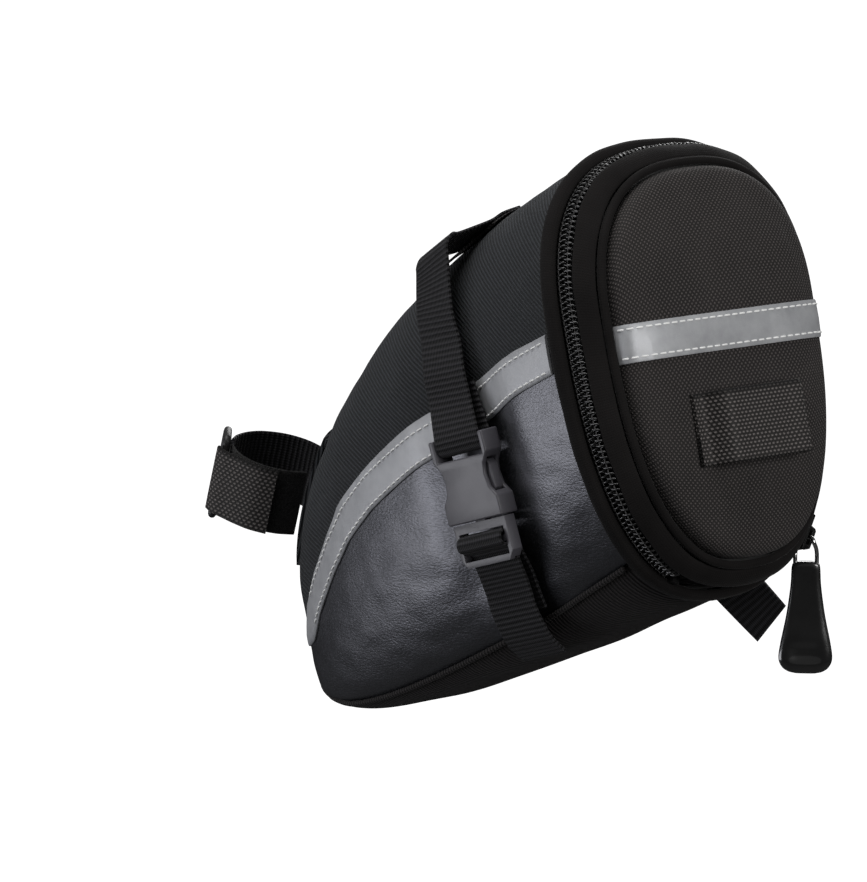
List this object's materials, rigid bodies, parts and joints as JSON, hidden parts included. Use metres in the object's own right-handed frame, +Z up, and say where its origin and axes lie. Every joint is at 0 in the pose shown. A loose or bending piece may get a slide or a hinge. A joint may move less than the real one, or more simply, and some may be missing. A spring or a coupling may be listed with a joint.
{
  "type": "saddle bag",
  "caption": "Wedge-shaped zipped saddle bag with a hinged padded lid, buckled rail straps, a seatpost strap and a loop for a clip-on light.",
  "frame": {"origin": "midway between the two saddle rails, on the centre of the loops that the rail straps make round them", "axes": "+X towards the rear of the bicycle, +Y to the bicycle's right, +Z up, as the bag hangs"},
  "size_m": [0.2169, 0.1077, 0.1744],
  "materials": {
    "twill": "ribbed twill weave, near-black grey",
    "synthetic_leather": "soft sheen, fine pebble grain, black",
    "ribbed_cloth": "ribbed cloth, black",
    "binding_cloth": "smooth matt binding, black",
    "dot_nylon": "coarse ballistic nylon weave, black",
    "webbing": "ribbed nylon webbing, black",
    "reflective_tape": "silver-grey reflective tape",
    "foam": "closed-cell foam, matt",
    "board": "flat sheet, matt",
    "lining_cloth": "thin smooth lining",
    "zipper_tape": "fine woven tape, black",
    "zipper_coil": "satin moulded coil, black",
    "buckle_plastic": "satin moulded acetal, black",
    "puller_plastic": "polished moulding, black",
    "steel_wire": "bright drawn wire",
    "black_metal": "black lacquered metal"
  },
  "bodies": {
    "bag": {"upper_panel": "twill", "left_lower_panel": "synthetic_leather", "right_lower_panel": "synthetic_leather", "bottom_panel": "ribbed_cloth", "top_pad": "foam", "left_pad": "foam", "right_pad": "foam", "base_board": "board", "body_lining": "lining_cloth", "left_side_tape": "reflective_tape", "right_side_tape": "reflective_tape", "left_seam_welt": "binding_cloth", "right_seam_welt": "binding_cloth", "opening_binding": "binding_cloth", "bag_zipper_tape": "zipper_tape", "bag_coil": "zipper_coil", "zipper_end_stop": "black_metal", "lid_hinge_web": "binding_cloth", "left_upper_strap": "webbing", "right_upper_strap": "webbing", "left_anchor_patch": "webbing", "right_anchor_patch": "webbing", "left_female_buckle": "buckle_plastic", "right_female_buckle": "buckle_plastic", "seatpost_long_strap": "webbing", "seatpost_short_strap": "webbing", "nose_patch": "webbing", "seatpost_ring": "buckle_plastic"},
    "left_release": {"left_male_buckle": "buckle_plastic", "left_lower_strap": "webbing", "left_strap_tail": "webbing"},
    "right_release": {"right_male_buckle": "buckle_plastic", "right_lower_strap": "webbing", "right_strap_tail": "webbing"},
    "left_front_latch": {"left_front_prong": "buckle_plastic"},
    "left_rear_latch": {"left_rear_prong": "buckle_plastic"},
    "right_front_latch": {"right_front_prong": "buckle_plastic"},
    "right_rear_latch": {"right_rear_prong": "buckle_plastic"},
    "lid": {"lid_coil": "zipper_coil", "lid_zipper_tape": "zipper_tape", "lid_strip": "binding_cloth", "lid_piping": "binding_cloth", "lid_panel": "dot_nylon", "lid_pad": "foam", "lid_board": "board", "lid_lining": "lining_cloth", "lid_tape": "reflective_tape", "light_loop": "webbing"},
    "slider": {"zipper_slider": "black_metal"},
    "puller": {"puller_wire": "steel_wire", "puller_grip": "puller_plastic"},
    "seatpost_tail": {"seatpost_strap_tail": "webbing"}
  },
  "joints": [
    {"name": "lid_hinge", "type": "hinge", "parent": "bag", "child": "lid", "pos_m": [0.08119, 0, -0.08725], "axis": [0, 1, 0], "range_deg": [0, 95]},
    {"name": "slider_run", "type": "hinge", "parent": "bag", "child": "slider", "pos_m": [0.06996, -0.01129, -0.04083], "axis": [0.972, 0, 0.2351], "range_deg": [0, 22]},
    {"name": "puller_swing", "type": "hinge", "parent": "slider", "child": "puller", "pos_m": [0.07829, 0.03209, -0.07524], "axis": [1, 0, 0], "range_deg": [-20, 100]},
    {"name": "left_buckle_release", "type": "slide", "parent": "bag", "child": "left_release", "axis": [0.2786, 0.0725, -0.9577], "range_m": [0, 0.018], "deforming": ["left_lower_strap"]},
    {"name": "left_front_latch_flex", "type": "hinge", "parent": "left_release", "child": "left_front_latch", "pos_m": [0.0172, -0.03879, -0.07046], "axis": [0.0819, 0.9917, 0.0989], "range_deg": [0, 8], "stiffness_Nm_per_rad": 0.12},
    {"name": "left_rear_latch_flex", "type": "hinge", "parent": "left_release", "child": "left_rear_latch", "pos_m": [0.02983, -0.04018, -0.06689], "axis": [-0.0819, -0.9917, -0.0989], "range_deg": [0, 8], "stiffness_Nm_per_rad": 0.12},
    {"name": "right_buckle_release", "type": "slide", "parent": "bag", "child": "right_release", "axis": [0.2786, -0.0725, -0.9577], "range_m": [0, 0.018], "deforming": ["right_lower_strap"]},
    {"name": "right_front_latch_flex", "type": "hinge", "parent": "right_release", "child": "right_front_latch", "pos_m": [0.0172, 0.03879, -0.07046], "axis": [-0.0819, 0.9917, -0.0989], "range_deg": [0, 8], "stiffness_Nm_per_rad": 0.12},
    {"name": "right_rear_latch_flex", "type": "hinge", "parent": "right_release", "child": "right_rear_latch", "pos_m": [0.02983, 0.04018, -0.06689], "axis": [0.0819, -0.9917, 0.0989], "range_deg": [0, 8], "stiffness_Nm_per_rad": 0.12},
    {"name": "seatpost_tail_peel", "type": "hinge", "parent": "bag", "child": "seatpost_tail", "pos_m": [-0.11084, -0.0151, -0.07487], "axis": [-0.2823, 0, -0.9593], "range_deg": [0, 70]}
  ],
  "couplings": [
    {"joint": "left_rear_latch_flex", "follows": "left_front_latch_flex", "ratio": 1},
    {"joint": "right_rear_latch_flex", "follows": "right_front_latch_flex", "ratio": 1}
  ]
}
